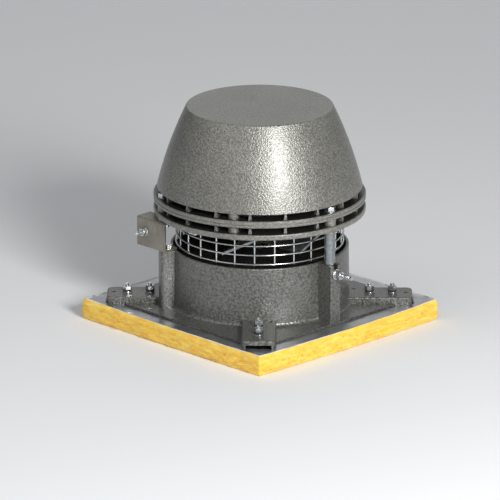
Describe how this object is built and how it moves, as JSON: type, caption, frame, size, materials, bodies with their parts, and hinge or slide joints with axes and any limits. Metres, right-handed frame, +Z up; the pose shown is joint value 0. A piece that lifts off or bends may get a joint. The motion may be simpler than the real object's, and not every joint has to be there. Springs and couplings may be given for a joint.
{
  "type": "chimney exhaust fan",
  "caption": "Horizontally discharging chimney exhaust fan: domed cast head hinged over a collar on a square plate, wire guard, impeller and motor inside, on a mineral wool mat",
  "frame": {"origin": "middle of the flue opening, on the chimney top under the mat", "axes": "+Z up along the impeller's axis, +X towards the lock, the hinge on the -X side"},
  "size_m": [0.331, 0.326, 0.2909],
  "materials": {
    "cast_grey": "hammer-finish grey paint on castings",
    "zinc_steel": "zinc plated",
    "hinge_sheet": "bare sheet",
    "mineral_wool": "matte wool with a pale facing on top",
    "dark_rubber": "matte",
    "motor_alloy": "cast, unpainted",
    "core_steel": "laminated",
    "copper_wire": "varnished",
    "black_plastic": "matte"
  },
  "bodies": {
    "base": {"base_casting": "cast_grey", "mineral_wool_mat": "mineral_wool", "anchor_bar_1": "zinc_steel", "anchor_bar_2": "zinc_steel", "anchor_bar_3": "zinc_steel", "anchor_bar_4": "zinc_steel", "anchor_studs": "zinc_steel", "anchor_washers": "zinc_steel", "anchor_dampers": "dark_rubber", "anchor_nuts": "zinc_steel", "hinge_plate_left": "hinge_sheet", "hinge_plate_right": "hinge_sheet", "hinge_foot_bolts": "zinc_steel", "pivot_bolts": "zinc_steel", "pivot_washers": "zinc_steel", "pivot_nuts": "zinc_steel"},
    "fan_head": {"motor_plate": "cast_grey", "cooling_ring": "cast_grey", "dome": "cast_grey", "dome_screws": "zinc_steel", "ring_bolts": "zinc_steel", "ring_bolt_washers": "zinc_steel", "bracket_nuts": "zinc_steel", "hinge_bracket_left": "hinge_sheet", "hinge_bracket_right": "hinge_sheet", "lock_pillar": "zinc_steel", "lock_stud": "zinc_steel", "lock_nut": "zinc_steel", "wire_guard": "zinc_steel", "guard_clips": "zinc_steel", "clip_screws": "zinc_steel", "motor_lower_shield": "motor_alloy", "motor_housing": "motor_alloy", "motor_upper_shield": "motor_alloy", "motor_tie_bolts": "zinc_steel", "motor_mount_screws": "zinc_steel", "stator_core": "core_steel", "stator_windings": "copper_wire", "bearing_outer_lower": "zinc_steel", "bearing_outer_upper": "zinc_steel", "terminal_box": "black_plastic", "cable_gland": "black_plastic"},
    "impeller_set": {"impeller": "motor_alloy", "impeller_washer": "zinc_steel", "impeller_nut": "zinc_steel", "motor_shaft": "zinc_steel", "rotor_core": "core_steel", "shaft_seal": "dark_rubber", "bearing_inner_lower": "zinc_steel", "bearing_inner_upper": "zinc_steel"}
  },
  "joints": [
    {"name": "head_tilt", "type": "hinge", "parent": "base", "child": "fan_head", "pos_m": [-0.088, 0, 0.127], "axis": [0, -1, 0], "range_deg": [0, 72]},
    {"name": "impeller_spin", "type": "hinge", "parent": "fan_head", "child": "impeller_set", "pos_m": [0, 0, 0.15], "axis": [0, 0, 1], "continuous": true}
  ]
}
